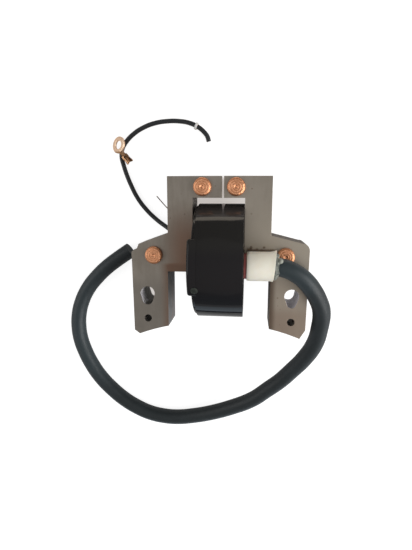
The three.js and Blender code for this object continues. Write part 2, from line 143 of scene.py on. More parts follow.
class Graph:
    """The node tree of a finish, with one method that places any node."""

    def __init__(self, tree: bpy.types.NodeTree) -> None:
        """Starts from an empty tree."""
        self.tree = tree
        tree.nodes.clear()

    def node(
        self,
        kind: str,
        settings: dict[str, Any] | None = None,
        inputs: dict[int | str, Any] | None = None,
        output: int | str = 0,
    ) -> Value:
        """Places one node.

        Args:
            kind: Node type.
            settings: Attributes of the node, set first.
            inputs: Numbers, colours, vectors or values for sockets, by index or name.
            output: Socket to return, by index or name.

        Returns:
            The chosen output, ready for arithmetic.
        """
        node = self.tree.nodes.new(kind)
        for key, setting in (settings or {}).items():
            setattr(node, key, setting)
        for key, item in (inputs or {}).items():
            if isinstance(item, Value):
                self.tree.links.new(item.socket, node.inputs[key])
            else:
                node.inputs[key].default_value = item
        return Value(self, node.outputs[output])

    def place(self) -> Value:
        """Position on the object in metres."""
        return self.node("ShaderNodeTexCoord", output="Object")

    def parts(self, vector: Value) -> tuple[Value, Value, Value]:
        """X, Y and Z of a vector as three values."""
        split = self.node("ShaderNodeSeparateXYZ", inputs={0: vector})
        outputs = split.socket.node.outputs
        return Value(self, outputs[0]), Value(self, outputs[1]), Value(self, outputs[2])

    def millimetres(self) -> tuple[Value, Value, Value]:
        """X, Y and Z of the position in millimetres."""
        x, y, z = self.parts(self.place())
        return x * 1000.0, y * 1000.0, z * 1000.0

    def scaled(self, x: float, y: float, z: float) -> Value:
        """Position stretched by a factor per axis, in units of 1 / millimetre."""
        factors = (1000.0 * x, 1000.0 * y, 1000.0 * z)
        return self.node("ShaderNodeVectorMath", {"operation": "MULTIPLY"}, {0: self.place(), 1: factors})

    def noise(self, x: float, y: float, z: float, detail: float = 3.0, rough: float = 0.55) -> Value:
        """Cloudy noise around 0.5, with a frequency per axis in cycles per millimetre."""
        inputs = {"Vector": self.scaled(x, y, z), "Scale": 1.0, "Detail": detail, "Roughness": rough}
        return self.node("ShaderNodeTexNoise", None, inputs)

    def cells(self, frequency: float) -> Value:
        """Distance to the nearest of scattered points."""
        inputs = {"Vector": self.scaled(frequency, frequency, frequency), "Scale": 1.0}
        return self.node("ShaderNodeTexVoronoi", None, inputs)

    def blend(self, factor: Value | float, first: Value | Colour, second: Value | Colour) -> Value:
        """Mixes two colours."""
        pair = [c if isinstance(c, Value) else (*c, 1.0) for c in (first, second)]
        inputs = {0: factor, 6: pair[0], 7: pair[1]}
        return self.node("ShaderNodeMix", {"data_type": "RGBA"}, inputs, 2)

    def bump(self, height: Value, depth: float, strength: float = 1.0) -> Value:
        """Surface relief of a depth in millimetres."""
        return self.node(
            "ShaderNodeBump", None, {"Strength": strength, "Distance": depth * MM, "Height": height}
        )

    def surface(self, fixed: dict[str, Any], varying: dict[str, Value]) -> None:
        """Closes the tree with one surface shader."""
        shader = self.node("ShaderNodeBsdfPrincipled", None, {**fixed, **varying})
        self.node_output("ShaderNodeOutputMaterial", shader)

    def node_output(self, kind: str, shader: Value) -> None:
        """Links a shader to the output of the tree."""
        end = self.tree.nodes.new(kind)
        self.tree.links.new(shader.socket, end.inputs[0])


# ---------- finishes


@dataclass(frozen=True)
class Finish:
    """Base of every finish: a name and a material slot."""

    name: str
    slot: str

    def paint(self, graph: Graph) -> None:
        """Fills the node tree."""
        raise NotImplementedError

    def material(self) -> bpy.types.Material:
        """Material of this finish, made once.

        Returns:
            The material.
        """
        label = f"{self.name}_finish"
        found = bpy.data.materials.get(label)
        if found is not None:
            return found
        made = bpy.data.materials.new(label)
        made.use_nodes = True
        self.paint(Graph(made.node_tree))
        return made


@dataclass(frozen=True)
class RolledSteel(Finish):
    """Bare transformer sheet: warm grey, faintly grained, with brown bloom and a few rust specks; painted
    light on the slot walls and on the left foot's inner face, and a painted shadow above the tower.
    """

    light: Colour = (0.36, 0.32, 0.275)
    dark: Colour = (0.29, 0.255, 0.215)
    bloom: Colour = (0.26, 0.165, 0.12)
    olive: Colour = (0.48, 0.425, 0.35)
    dull: Colour = (0.22, 0.20, 0.175)
    edge: Colour = (0.20, 0.185, 0.165)
    # paler, bluish tone of the painted light on the left foot's inner face
    shaded: Colour = (0.28, 0.31, 0.335)
    # colour of the painted light on the slot walls
    painted_wall_light: Colour = (0.72, 0.70, 0.73)
    # colour of the rust specks and spots, also laid on the bar's lower band and used for the painted shadow
    # above the tower
    rust_and_shadow: Colour = (0.09, 0.05, 0.03)
    spots: Sequence[Flat] = ((12.5, 4.6), (17.4, 4.7))

    def paint(self, graph: Graph) -> None:
        """Fills the node tree."""
        x, y, z = graph.millimetres()
        cloud = graph.noise(0.07, 0.05, 0.05, 4.0)
        grain = graph.noise(0.9, 0.12, 0.9, 4.0, 0.65)
        fine = graph.noise(6.0, 1.2, 6.0, 3.0, 0.6)
        sheet = graph.blend((cloud * 0.75 + grain * 0.25).step(0.36, 0.62), self.dark, self.light)
        leg = (x.step(-24.0, -14.0) * x.step(-5.0, -9.0)) * (y.step(-9.0, -1.0) * y.step(24.0, 6.0))
        # a darker, browner band along the lower edge of the left half's bar
        bar = x.step(-24.0, -18.0) * x.step(-5.0, -9.0) * y.step(-1.5, -3.2)
        sheet = graph.blend(x.step(0.0, 3.0) * (0.35 + y.step(26.0, 8.0) * 0.55), sheet, self.olive)
        sheet = graph.blend(x.step(-18.0, -22.0) * y.step(-4.0, -14.0) * 0.55, sheet, self.dull)
        foot = x.step(19.0, 22.0) * (y.step(-4.0, -10.0) * 0.6 + y.step(-17.0, -23.0) * 0.9)
        toned = graph.blend((leg * 0.95 + bar * 1.1 + foot * 0.32) * (0.6 + cloud * 0.8), sheet, self.bloom)
        toned = graph.blend(bar * 0.25, toned, self.rust_and_shadow)
        normal = graph.node("ShaderNodeNewGeometry", output="Normal")
        up = abs(graph.parts(normal)[2])
        side = up.step(0.75, 0.35)
        streak = graph.noise(0.05, 0.05, 2.6, 2.0)
        cut = graph.blend(streak.step(0.35, 0.65), self.edge, tuple(c * 0.7 for c in self.edge))
        across = graph.parts(normal)[0]
        slots = y.step(-11.0, -11.6) * y.step(-19.6, -19.0)
        slots = slots * (abs(x).step(25.0, 25.4) * abs(x).step(32.4, 32.0))
        # painted light: a lit crescent on the upper part of the left slot's left wall
        painted_lit_crescent = x.step(-28.0, -30.5) * across.step(0.3, 0.8) * z.step(23.0, 25.0)
        # painted light on the walls of the right half's slot and on that crescent
        painted_lit_walls = slots * (x.step(0.0, 1.0) + painted_lit_crescent)
        # painted light: the left foot's inner side face, where it faces right, gets a paler, bluish tone for
        # the floor light it reflects
        inward = x.step(-17.0, -19.0) * x.step(-23.5, -21.5) * y.step(-4.0, -6.5) * across.step(0.3, 0.8)
        cut = graph.blend(inward * 0.8, cut, self.shaded)
        cut = graph.blend(painted_lit_walls, cut, self.painted_wall_light)
        base = graph.blend(side, toned, cut)
        specks = graph.cells(0.32).step(0.16, 0.08) * cloud.step(0.5, 0.62)
        base = graph.blend(specks * 0.75, base, self.rust_and_shadow)
        for spot in self.spots:
            near = (((x - spot[0]) ** 2 + (y - spot[1]) ** 2).root() + grain * 0.8).step(1.15, 0.75)
            base = graph.blend(near * 0.6, base, self.rust_and_shadow)
        # painted shadow of the tower: a dark, ragged band on the front faces just above it
        painted_tower_shadow = x.step(10.0, 11.5) * x.step(23.0, 20.5) * (y + grain * 1.6).step(5.4, 4.4)
        base = graph.blend(painted_tower_shadow * up.step(0.35, 0.75) * 0.75, base, self.rust_and_shadow)
        relief = fine * 0.5 + grain * 0.5 + side * streak
        varying = {
            "Base Color": base,
            "Roughness": 0.36 + grain * 0.16 + specks * 0.3 + side * 0.08,
            # the metal sheen is taken out where the slot walls get painted light
            "Metallic": 0.92 - specks * 0.7 - side * painted_lit_walls * 0.75,
            "Normal": graph.bump(relief, 0.02, 0.55),
        }
        graph.surface({}, varying)


@dataclass(frozen=True)
class SpunCopper(Finish):
    """Rivet metal with the rings that the heading tool leaves, brighter on the crown; the darker skirt is
    partly tarnish and partly painted shade.
    """

    centre: Flat = (0.0, 0.0)
    bright: Colour = (0.93, 0.47, 0.265)
    deep: Colour = (0.60, 0.24, 0.115)
    # darker colour of the skirt: tarnish and painted shade
    tarnish_and_shade: Colour = (0.16, 0.075, 0.04)

    def paint(self, graph: Graph) -> None:
        """Fills the node tree."""
        x, y, z = graph.millimetres()
        dx = x - self.centre[0]
        dy = y - self.centre[1]
        radius = (dx * dx + dy * dy).root()
        cloud = graph.noise(0.5, 0.5, 0.5, 3.0)
        rings = (radius * 7.5 + cloud * 2.5).sine() * 0.5 + 0.5
        patch = graph.noise(1.6, 1.6, 1.6, 4.0, 0.65)
        base = graph.blend((rings * 0.3 + patch * 0.9).step(0.25, 0.9), self.deep, self.bright)
        # the skirt round the head is darkened, partly as tarnish and partly as painted shade of the dark rim
        # seen round the head
        skirt = radius.step(3.25, 3.5)
        base = graph.blend(skirt * 0.5, base, self.tarnish_and_shade)
        varying = {
            "Base Color": base,
            "Roughness": 0.34 + cloud * 0.14,
            "Metallic": 1.0 - skirt * 0.15,
            "Normal": graph.bump(rings * 0.35 + patch * 1.3, 0.16, 0.8),
        }
        graph.surface({}, varying)


@dataclass(frozen=True)
class GlossMoulding(Finish):
    """Black thermoset with a moulded gloss, faint flow marks and dust, with painted reflections: a warm tint
    above, a cool tint below and brown along the top under the yoke.
    """

    base: Colour = (0.0125, 0.0112, 0.0122)
    # tints painted as reflections: cool on the lower part, warm on the upper part, brown along the top
    cool: Colour = (0.0075, 0.0080, 0.0100)
    warm: Colour = (0.0175, 0.0165, 0.0155)
    brown: Colour = (0.045, 0.040, 0.038)
    dust: Colour = (0.020, 0.018, 0.017)
    roughness: float = 0.04
    specular: float = 0.22

    def paint(self, graph: Graph) -> None:
        """Fills the node tree."""
        _, y, _ = graph.millimetres()
        cloud = graph.noise(0.09, 0.09, 0.09, 4.0)
        flow = graph.noise(0.05, 0.5, 0.5, 3.0)
        dust = graph.noise(1.8, 1.8, 1.8, 5.0, 0.7)
        film = dust.step(0.56, 0.74) * cloud.step(0.4, 0.65)
        # painted reflections: warm tint on the upper part of the cup, cool tint on the lower part
        tone = graph.blend(y.step(2.0, 8.0), self.base, self.warm)
        tone = graph.blend(y.step(-8.0, -14.0), tone, self.cool)
        # painted reflection of the yoke: brown along the top, broken up by the flow noise
        tone = graph.blend(y.step(16.4, 17.4) * (0.5 + flow), tone, self.brown)
        varying = {
            "Base Color": graph.blend(film * 0.5, tone, self.dust),
            "Roughness": self.roughness + cloud * 0.05 + film * 0.1,
            "Normal": graph.bump(flow * 0.7 + cloud, 0.05, 0.15),
        }
        graph.surface({"IOR": 1.5, "Specular IOR Level": self.specular}, varying)


@dataclass(frozen=True)
class Plastic(Finish):
    """Plain moulded plastic or resin with soft mottling."""

    base: Colour = (0.8, 0.75, 0.63)
    shade: Colour = (0.7, 0.64, 0.5)
    roughness: float = 0.4
    relief: float = 0.03
    sink: float = 0.1

    def paint(self, graph: Graph) -> None:
        """Fills the node tree."""
        cloud = graph.noise(0.18, 0.18, 0.18, 4.0)
        fine = graph.noise(2.2, 2.2, 2.2, 3.0)
        varying = {
            "Base Color": graph.blend(cloud.step(0.35, 0.68), self.base, self.shade),
            "Roughness": self.roughness + fine * 0.12,
            "Normal": graph.bump(fine * 0.5 + cloud, self.relief, 0.5),
        }
        fixed = {"Subsurface Weight": self.sink, "Subsurface Radius": (0.002, 0.0016, 0.001)}
        graph.surface(fixed, varying)


@dataclass(frozen=True)
class MilkySealant(Finish):
    """Half-clear silicone, greenish grey, wet-looking."""

    base: Colour = (0.34, 0.35, 0.30)
    shade: Colour = (0.10, 0.11, 0.095)

    def paint(self, graph: Graph) -> None:
        """Fills the node tree."""
        cloud = graph.noise(0.5, 0.5, 0.5, 4.0)
        varying = {
            "Base Color": graph.blend(cloud.step(0.35, 0.65), self.base, self.shade),
            "Roughness": 0.3 + cloud * 0.2,
            "Normal": graph.bump(cloud, 0.25, 0.5),
        }
        fixed = {
            "Subsurface Weight": 0.2,
            "Subsurface Radius": (0.004, 0.004, 0.003),
            "IOR": 1.42,
        }
        graph.surface(fixed, varying)


@dataclass(frozen=True)
class CordJacket(Finish):
    """Extruded jacket: blue-black, satin, with fine lines along it, handling marks and painted highlights near
    the tower and on the left of the loop.
    """

    base: Colour = (0.006, 0.010, 0.012)
    # lighter tone for the handling marks and the painted highlights
    wear_and_highlight: Colour = (0.020, 0.031, 0.036)
    roughness: float = 0.42
    sheen: float = 0.06
    specular: float = 0.42

    def paint(self, graph: Graph) -> None:
        """Fills the node tree."""
        cloud = graph.noise(0.12, 0.12, 0.12, 4.0)
        fine = graph.noise(1.6, 1.6, 1.6, 4.0, 0.65)
        marks = fine.step(0.52, 0.75) * cloud.step(0.42, 0.66)
        x, y, _ = graph.millimetres()
        # painted highlight: lighter jacket on the lead just past the tower mouth
        painted_highlight_near_tower = x.step(20.0, 24.0) * x.step(40.0, 32.0) * y.step(-16.0, -8.0)
        # painted highlight: lighter jacket on the left side of the loop on the bench
        painted_highlight_on_loop = x.step(-44.0, -62.0) * y.step(-76.0, -52.0)
        varying = {
            "Base Color": graph.blend(marks * 0.6 + cloud * 0.3 + painted_highlight_near_tower * 1.2 + painted_highlight_on_loop, self.base, self.wear_and_highlight),
            "Roughness": self.roughness + cloud * 0.1 + marks * 0.12,
            "Normal": graph.bump(fine + cloud * 2.0, 0.04, 0.5),
        }
        fixed = {"Specular IOR Level": self.specular, "Sheen Weight": self.sheen, "Sheen Roughness": 0.6}
        graph.surface(fixed, varying)


@dataclass(frozen=True)
class SheetBrass(Finish):
    """Copper-washed terminal sheet, bright on the high spots and brown in the folds."""

    bright: Colour = (0.80, 0.47, 0.28)
    deep: Colour = (0.16, 0.085, 0.05)
    roughness: float = 0.3
    pale: Colour = (0.95, 0.70, 0.50)
    pale_from: float = 500.0

    def paint(self, graph: Graph) -> None:
        """Fills the node tree."""
        cloud = graph.noise(0.4, 0.4, 0.4, 4.0)
        fine = graph.noise(3.0, 3.0, 3.0, 3.0)
        tone = cloud * 0.7 + fine * 0.3
        _, y, _ = graph.millimetres()
        eye = y.step(self.pale_from - 0.6, self.pale_from + 0.6)
        folds = graph.blend(tone.step(0.56, 0.42), self.bright, self.deep)
        varying = {
            "Base Color": graph.blend(eye * 0.9, folds, self.pale),
            "Roughness": self.roughness + cloud * 0.15,
            "Metallic": 0.9 + fine * 0.1,
            "Normal": graph.bump(fine + cloud, 0.05, 0.6),
        }
        graph.surface({}, varying)


@dataclass(frozen=True)
class EnamelTurns(Finish):
    """Turns of enamelled wire laid side by side across the spool."""

    pitch: float = 0.5
    bright: Colour = (0.66, 0.30, 0.12)
    deep: Colour = (0.22, 0.08, 0.03)

    def paint(self, graph: Graph) -> None:
        """Fills the node tree."""
        x, _, _ = graph.millimetres()
        turns = (x * (2 * math.pi / self.pitch)).sine() * 0.5 + 0.5
        cloud = graph.noise(0.3, 0.3, 0.3, 3.0)
        varying = {
            "Base Color": graph.blend(turns * 0.8 + cloud * 0.2, self.deep, self.bright),
            "Roughness": 0.3 + cloud * 0.15,
            "Metallic": 0.5 + turns * 0.2,
            "Normal": graph.bump(turns, self.pitch * 0.4, 0.8),
        }
        graph.surface({}, varying)


@dataclass(frozen=True)
class VarnishedPaper(Finish):
    """Brown insulating paper with fibres."""

    base: Colour = (0.56, 0.42, 0.24)
    shade: Colour = (0.38, 0.26, 0.13)

    def paint(self, graph: Graph) -> None:
        """Fills the node tree."""
        fibre = graph.noise(0.4, 3.0, 3.0, 4.0, 0.7)
        varying = {
            "Base Color": graph.blend(fibre.step(0.3, 0.7), self.shade, self.base),
            "Roughness": 0.55 + fibre * 0.25,
            "Normal": graph.bump(fibre, 0.05, 0.6),
        }
        graph.surface({}, varying)


@dataclass(frozen=True)
class Bench(Finish):
    """Paper-white bench top, evenly bright to the camera but for painted contact shadows under the core; to
    other rays it glows as painted light, in a bright strip behind the coil, a cool one in front of it and a
    warm patch close behind it.
    """

    tone: float = 0.4
    glow: Colour = (0.85, 0.85, 0.85)
    # colour of the painted contact shadows
    contact: Colour = (0.32, 0.28, 0.25)
    # glows seen only by rays other than camera rays: painted light for the coil and the metal to reflect
    shade: Colour = (0.16, 0.16, 0.16)
    warm: Colour = (0.42, 0.33, 0.30)
    painted_glow_behind: Colour = (2.9, 2.55, 2.1)
    painted_cool_glow: Colour = (0.40, 0.52, 0.62)

    def paint(self, graph: Graph) -> None:
        """Fills the node tree."""
        x, y, _ = graph.millimetres()
        seen = graph.node("ShaderNodeLightPath", output="Is Camera Ray")
        # painted light: for rays other than camera rays the bench glows in a bright strip behind the coil, a
        # cool strip in front of it and a warm patch close behind it, over a dim glow
        behind = y.step(165.0, 185.0) * y.step(720.0, 680.0) * (x.step(-170.0, -150.0) * x.step(80.0, 60.0))
        ahead = y.step(-80.0, -95.0) * y.step(-270.0, -250.0)
        near = y.step(15.0, 40.0) * abs(x).step(120.0, 60.0)
        unseen = graph.blend(ahead, graph.blend(near, self.shade, self.warm), self.painted_cool_glow)
        unseen = graph.blend(behind, unseen, self.painted_glow_behind)
        # painted contact shadows, seen by the camera: under the core's window and under the left foot's slot
        between = x.step(-22.0, -11.0) * x.step(20.0, 10.0) * (y.step(3.0, 19.0) * y.step(34.0, 31.0))
        beneath = x.step(-38.5, -34.5) * x.step(-22.5, -28.0) * (y.step(-34.0, -23.5) * y.step(0.0, -13.0))
        depth = between * (0.81 + y.step(23.0, 26.0) * 0.19) + beneath * 0.84
        plain = graph.blend(depth, self.glow, self.contact)
        fixed = {
            "Base Color": (self.tone, self.tone, self.tone, 1.0),
            "Roughness": 0.7,
            "Emission Strength": 1.0,
        }
        graph.surface(fixed, {"Emission Color": graph.blend(seen, unseen, plain)})


STEEL = RolledSteel("rolled_steel", "lamination_steel")
MOULDING = GlossMoulding("black_moulding", "black_moulding")
RESIN = Plastic("cast_resin", "potting_resin", (0.03, 0.026, 0.024), (0.05, 0.045, 0.04), 0.3, 0.05, 0.0)
CREAM = Plastic("cream_tower", "cream_plastic", (1.0, 0.955, 0.83), (0.96, 0.90, 0.755), 0.34, 0.04, 0.1)
RED_SEAL = Plastic("red_seal", "red_seal", (0.38, 0.10, 0.09), (0.28, 0.07, 0.06), 0.5)
SPOOL = Plastic("spool_plastic", "spool_plastic", (0.72, 0.66, 0.52), (0.62, 0.55, 0.42), 0.5)
SEALANT = MilkySealant("milky_sealant", "clear_sealant")
FILLER = MilkySealant("hole_filler", "clear_sealant", (0.032, 0.040, 0.031), (0.014, 0.017, 0.014))
LEAD = CordJacket("lead_jacket", "lead_rubber")
SLEEVE = CordJacket("wire_sleeve", "wire_sleeve", (0.007, 0.009, 0.011), (0.022, 0.026, 0.030), 0.32, 0.08)
BRASS = SheetBrass("terminal_brass", "terminal_brass", (0.42, 0.24, 0.13), (0.07, 0.04, 0.028), pale_from=43.4)
STRAND = SheetBrass("bare_strand", "bare_copper", (0.30, 0.24, 0.20), (0.12, 0.09, 0.07), 0.4)
WHITE_BAND = Plastic("white_band", "white_band", (0.8, 0.8, 0.78), (0.7, 0.7, 0.68), 0.5)
PRIMARY_TURNS = EnamelTurns("primary_turns", "winding_copper", 0.6)
SECONDARY_TURNS = EnamelTurns("secondary_turns", "winding_copper", 0.18)
PAPER = VarnishedPaper("varnished_paper", "wrap_paper")
BENCH = Bench("bench_top", "")


# ---------- mesh building


def axis_along_x(y: float, z: float) -> Matrix:
    """Turns a profile's axis from +Z to +X and puts it at (y, z)."""
    turn = Matrix(((0, 0, 1), (1, 0, 0), (0, 1, 0))).to_4x4()
    return Matrix.Translation((0.0, y, z)) @ turn


def finish_mesh(mesh: bpy.types.Mesh, shading: Shading) -> None:
    """Sets smooth faces with sharp edges above the shading's angle."""
    mesh.polygons.foreach_set("use_smooth", [True] * len(mesh.polygons))
    if shading is not Shading.SMOOTH:
        mesh.set_sharp_from_angle(angle=math.radians(shading.value))
    mesh.update()


def add_piece(
    name: str,
    data: bpy.types.Mesh | bpy.types.Curve,
    finish: Finish,
    nodes: Sequence[str] = (),
) -> bpy.types.Object:
    """Puts a built piece in the scene.

    Args:
        name: Name of the piece.
        data: Its mesh or curve, in metres in the model's frame.
        finish: What it is made of.
        nodes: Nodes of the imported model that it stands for.

    Returns:
        The new object, riding on the one body.
    """
    piece = bpy.data.objects.new(name, data)
    bpy.context.scene.collection.objects.link(piece)
    data.materials.append(finish.material())
    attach(piece, ROOT)
    if nodes:
        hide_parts(*nodes)
    LOG.info("piece %s", name)
    return piece


def mesh_from(name: str, build: Callable[[bmesh.types.BMesh], None], shading: Shading) -> bpy.types.Mesh:
    """Runs a builder on an empty mesh in millimetres and returns it in metres.

    Args:
        name: Name of the mesh.
        build: Adds the geometry.
        shading: How its faces meet.

    Returns:
        The finished mesh.
    """
    work = bmesh.new()
    build(work)
    bmesh.ops.remove_doubles(work, verts=work.verts, dist=1e-4)
    bmesh.ops.recalc_face_normals(work, faces=work.faces)
    bmesh.ops.scale(work, vec=(MM, MM, MM), verts=work.verts)
    mesh = bpy.data.meshes.new(name)
    work.to_mesh(mesh)
    work.free()
    finish_mesh(mesh, shading)
    return mesh


def turned(
    work: bmesh.types.BMesh, profile: Sequence[Flat], segments: int, place: Matrix, closed: bool = False
) -> None:
    """Turns a profile of (radius, distance along the axis) about +Z and then places it.

    Args:
        work: Mesh to add to.
        profile: Points of the profile; a solid's ends lie on the axis.
        segments: Steps round the axis.
        place: Where the turned body goes.
        closed: Whether the profile closes on itself, for a body with a hole.
    """
    rings: list[list[bmesh.types.BMVert]] = []
    for radius, along in profile:
        if radius < 1e-6:
            rings.append([work.verts.new(place @ Vector((0.0, 0.0, along)))])
            continue
        ring = []
        for step in range(segments):
            angle = 2 * math.pi * step / segments
            point = Vector((radius * math.cos(angle), radius * math.sin(angle), along))
            ring.append(work.verts.new(place @ point))
        rings.append(ring)
    pairs = list(zip(rings, rings[1:]))
    if closed:
        pairs.append((rings[-1], rings[0]))
    for low, high in pairs:
        for step in range(segments):
            corners = [low[step % len(low)], low[(step + 1) % len(low)]]
            corners += [high[(step + 1) % len(high)], high[step % len(high)]]
            distinct = list(dict.fromkeys(corners))
            if len(distinct) > 2:
                work.faces.new(distinct)


def bridge(work: bmesh.types.BMesh, rings: Sequence[Sequence[bmesh.types.BMVert]]) -> None:
    """Joins each ring of corners to the next one with four-sided faces."""
    for low, high in zip(rings, rings[1:]):
        for k in range(len(low)):
            after = (k + 1) % len(low)
            work.faces.new([low[k], low[after], high[after], high[k]])


def arc(x: float, y: float, radius: float, start: float, end: float, steps: int) -> list[Flat]:
    """Points of an arc between two angles in degrees."""
    points = []
    for step in range(steps + 1):
        angle = math.radians(start + (end - start) * step / steps)
        points.append((x + radius * math.cos(angle), y + radius * math.sin(angle)))
    return points


def plate_mesh(name: str, loops: Sequence[Sequence[Flat]], thickness: float, edge: float) -> bpy.types.Mesh:
    """Flat plate with holes, in millimetres, centred on z = 0.

    Args:
        name: Name of the mesh.
        loops: Outer outline first, then the holes.
        thickness: Thickness of the plate.
        edge: Size of the rounding of its edges.

    Returns:
        The mesh, still in millimetres.
    """
    curve = bpy.data.curves.new(name, "CURVE")
    curve.dimensions = "2D"
    curve.fill_mode = "BOTH"
    curve.extrude = thickness / 2 - edge
    curve.bevel_depth = edge
    curve.bevel_resolution = 1
    curve.offset = -edge
    for loop in loops:
        spline = curve.splines.new("POLY")
        spline.points.add(len(loop) - 1)
        for point, (x, y) in zip(spline.points, loop):
            point.co = (x, y, 0.0, 1.0)
        spline.use_cyclic_u = True
    holder = bpy.data.objects.new(name, curve)
    bpy.context.scene.collection.objects.link(holder)
    graph = bpy.context.evaluated_depsgraph_get()
    mesh = bpy.data.meshes.new_from_object(holder.evaluated_get(graph))
    bpy.data.objects.remove(holder)
    bpy.data.curves.remove(curve)
    return mesh


def cord_curve(name: str, route: Sequence[Point], radius: float, caps: bool = True) -> bpy.types.Curve:
    """Round cord along a smooth route.

    Args:
        name: Name of the curve.
        route: Points that it passes through, in millimetres.
        radius: Radius of the cord.
        caps: Whether its ends are closed.

    Returns:
        The curve, in metres.
    """
    curve = bpy.data.curves.new(name, "CURVE")
    curve.dimensions = "3D"
    curve.bevel_depth = radius * MM
    curve.bevel_resolution = 6
    curve.use_fill_caps = caps
    curve.resolution_u = 8
    spline = curve.splines.new("BEZIER")
    spline.bezier_points.add(len(route) - 1)
    for knot, point in zip(spline.bezier_points, route):
        knot.co = Vector(point) * MM
        knot.handle_left_type = "AUTO"
        knot.handle_right_type = "AUTO"
    spline.use_smooth = True
    return curve


# ---------- cords and what is on them


@dataclass
class PlugLead:
    """High-tension lead from the tower, over the right foot and round on the bench to its cut end."""

    radius: float = 3.5
    length: float = 257.7
    route: Sequence[Point] = (
        (16.0, -1.6, 36.5), (19.0, -1.6, 36.5), (22.3, -1.7, 36.5), (25.7, -2.5, 36.5),
        (29.3, -4.2, 36.3), (32.8, -7.0, 35.6), (35.8, -10.7, 34.4), (38.3, -14.9, 32.4),
        (40.2, -20.0, 30.0), (40.5, -27.6, 26.4), (39.4, -36.0, 22.7), (35.7, -44.4, 19.1),
        (31.4, -50.9, 16.2), (26.9, -57.0, 13.6), (21.4, -62.8, 11.2), (14.6, -69.3, 8.8),
        (5.2, -74.9, 6.6), (-5.5, -79.5, 4.9), (-13.5, -81.9, 4.0), (-21.6, -83.3, 3.6),
        (-28.6, -83.2, 3.5), (-35.7, -81.8, 3.5), (-41.7, -79.3, 3.5), (-47.8, -75.7, 3.5),
        (-54.2, -70.4, 3.5), (-60.1, -64.0, 3.5), (-64.4, -57.3, 3.5), (-67.5, -50.4, 3.5),
        (-69.3, -44.3, 3.5), (-69.9, -38.2, 3.5), (-69.4, -31.9, 3.5), (-67.4, -25.2, 3.5),
        (-64.0, -18.9, 3.5), (-59.6, -13.6, 3.5), (-54.5, -8.8, 3.5), (-48.6, -4.4, 3.5),
        (-42.8, -0.5, 3.5),
    )

    def build(self) -> None:
        curve = cord_curve("plug_lead", self.route, self.radius)
        lead = add_piece("plug_lead", curve, LEAD, ["ht_lead"])


@dataclass
class StopWire:
    """Thin stop wire with its marker band and the ring terminal that lies on it."""

    radius: float = 1.0
    length: float = 109.0
    route: Sequence[Point] = (
        (-9.6, 1.0, 8.0), (-11.6, 1.2, 8.0), (-15.3, 3.6, 7.2), (-20.1, 6.7, 5.6),
        (-25.3, 9.9, 3.4), (-31.3, 14.0, 1.6), (-36.1, 18.6, 1.05), (-39.8, 23.7, 1.05),
        (-42.1, 28.3, 1.05), (-44.1, 33.2, 1.05), (-45.6, 38.0, 1.05), (-46.3, 41.3, 1.05),
        (-45.9, 44.8, 1.05), (-44.0, 47.9, 1.05), (-40.4, 51.3, 1.05), (-35.7, 54.0, 1.05),
        (-30.6, 55.7, 1.05), (-25.1, 56.4, 1.05), (-19.7, 56.3, 1.05), (-15.2, 55.4, 1.5),
        (-11.5, 53.7, 1.6), (-8.8, 51.5, 1.5), (-7.4, 49.6, 1.2), (-6.8, 47.6, 1.05),
    )
    terminal: "RingTerminal" = field(default_factory=lambda: RingTerminal())

    def band(self) -> bpy.types.Object:
        """Marker band round the wire, close to its cut end.

        Returns:
            The band.
        """
        end, before = Vector(self.route[-4]), Vector(self.route[-5])
        heading = (end - before).normalized()
        turn = heading.to_track_quat("Z", "Y").to_matrix().to_4x4()
        place = Matrix.Translation(before.lerp(end, 0.8)) @ turn
        profile = [(1.02, -0.5), (1.5, -0.5), (1.55, -0.42), (1.55, 0.42), (1.5, 0.5), (1.02, 0.5)]
        build = partial(turned, profile=profile, segments=32, place=place, closed=True)
        mesh = mesh_from("marker_sleeve", build, Shading.SOFT)
        return add_piece("marker_sleeve", mesh, WHITE_BAND, ["marker_band"])

    def build(self) -> None:
        curve = cord_curve("stop_lead", self.route, self.radius)
        wire = add_piece("stop_lead", curve, SLEEVE, ["stop_wire"])
        carried = [self.band(), self.terminal.build()]


